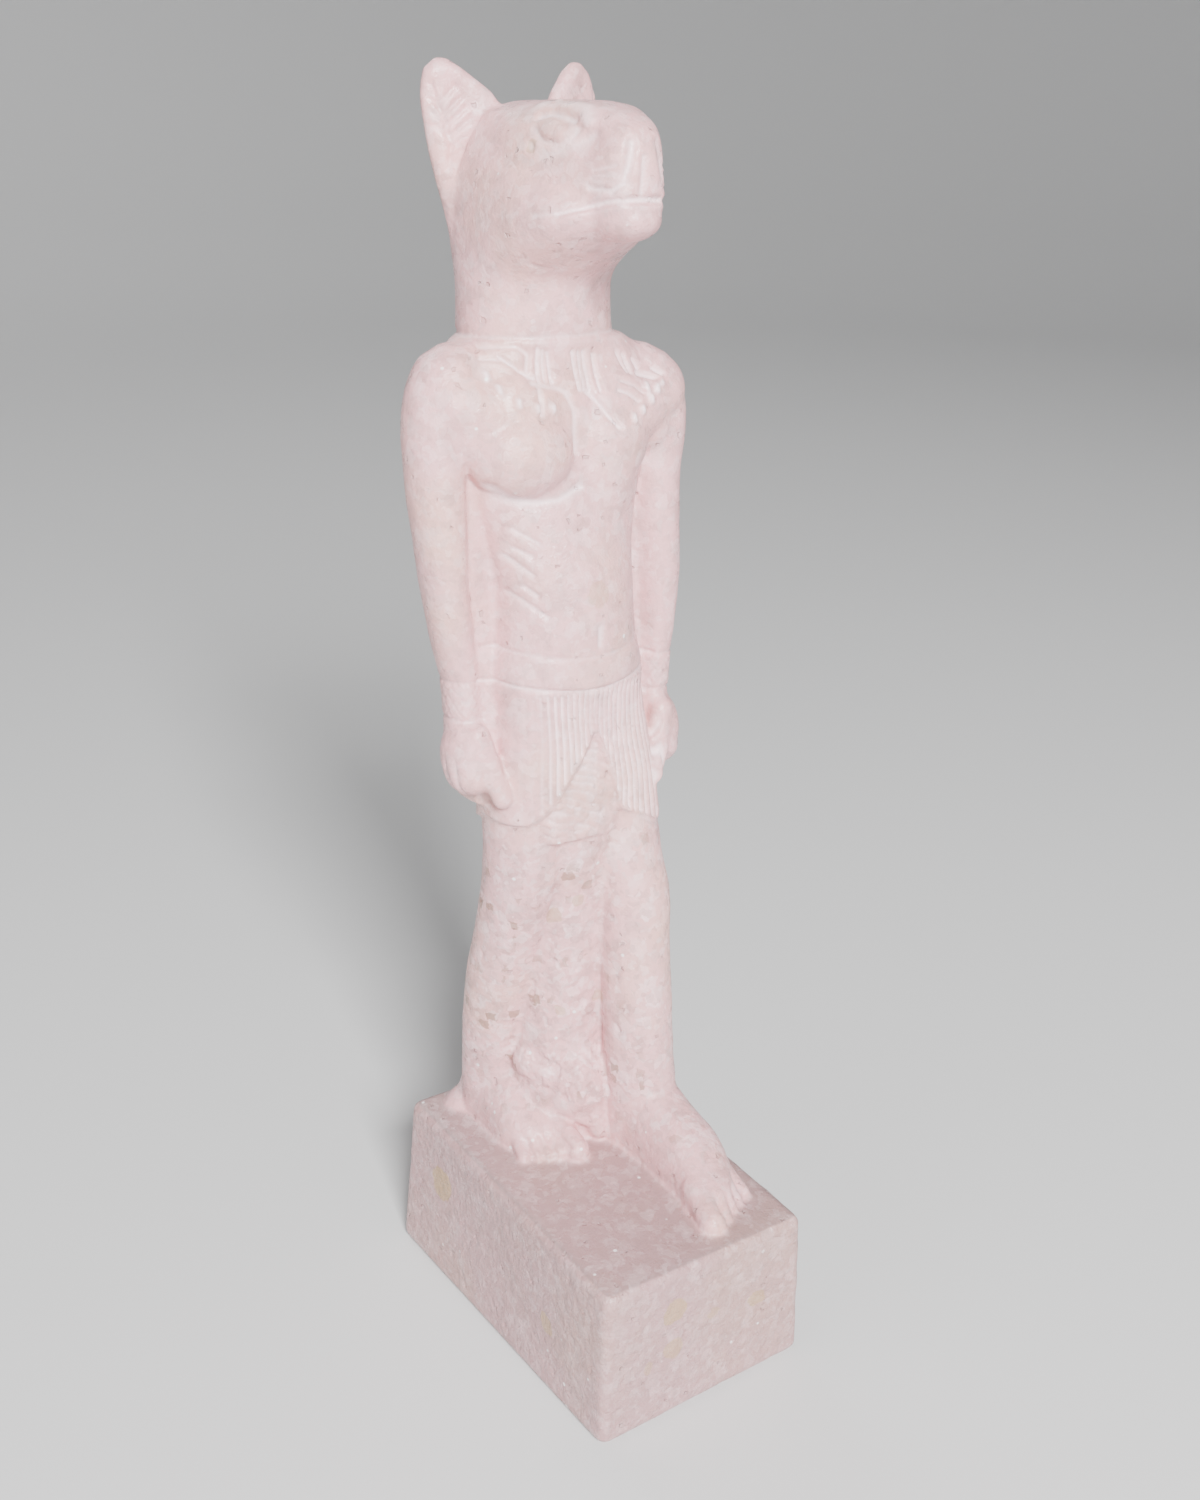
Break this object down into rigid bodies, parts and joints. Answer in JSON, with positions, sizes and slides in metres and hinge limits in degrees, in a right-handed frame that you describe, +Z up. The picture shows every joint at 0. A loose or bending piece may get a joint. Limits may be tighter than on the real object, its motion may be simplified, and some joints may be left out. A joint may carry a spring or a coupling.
{
  "type": "cat-headed standing figure",
  "caption": "Carved pale stone souvenir figure of a standing cat-headed woman in a pleated kilt, striding on a rectangular block base.",
  "frame": {"origin": "middle of the flat underside of the block base", "axes": "+Z up through the figure's head; -Y the way the figure faces; +X the figure's left"},
  "size_m": [0.0493, 0.0662, 0.2064],
  "materials": {
    "stone": "honed pale pinkish stone with small darker grains and a few ochre chips"
  },
  "bodies": {
    "root": {"bastet_cat_figure": "stone"}
  },
  "joints": []
}
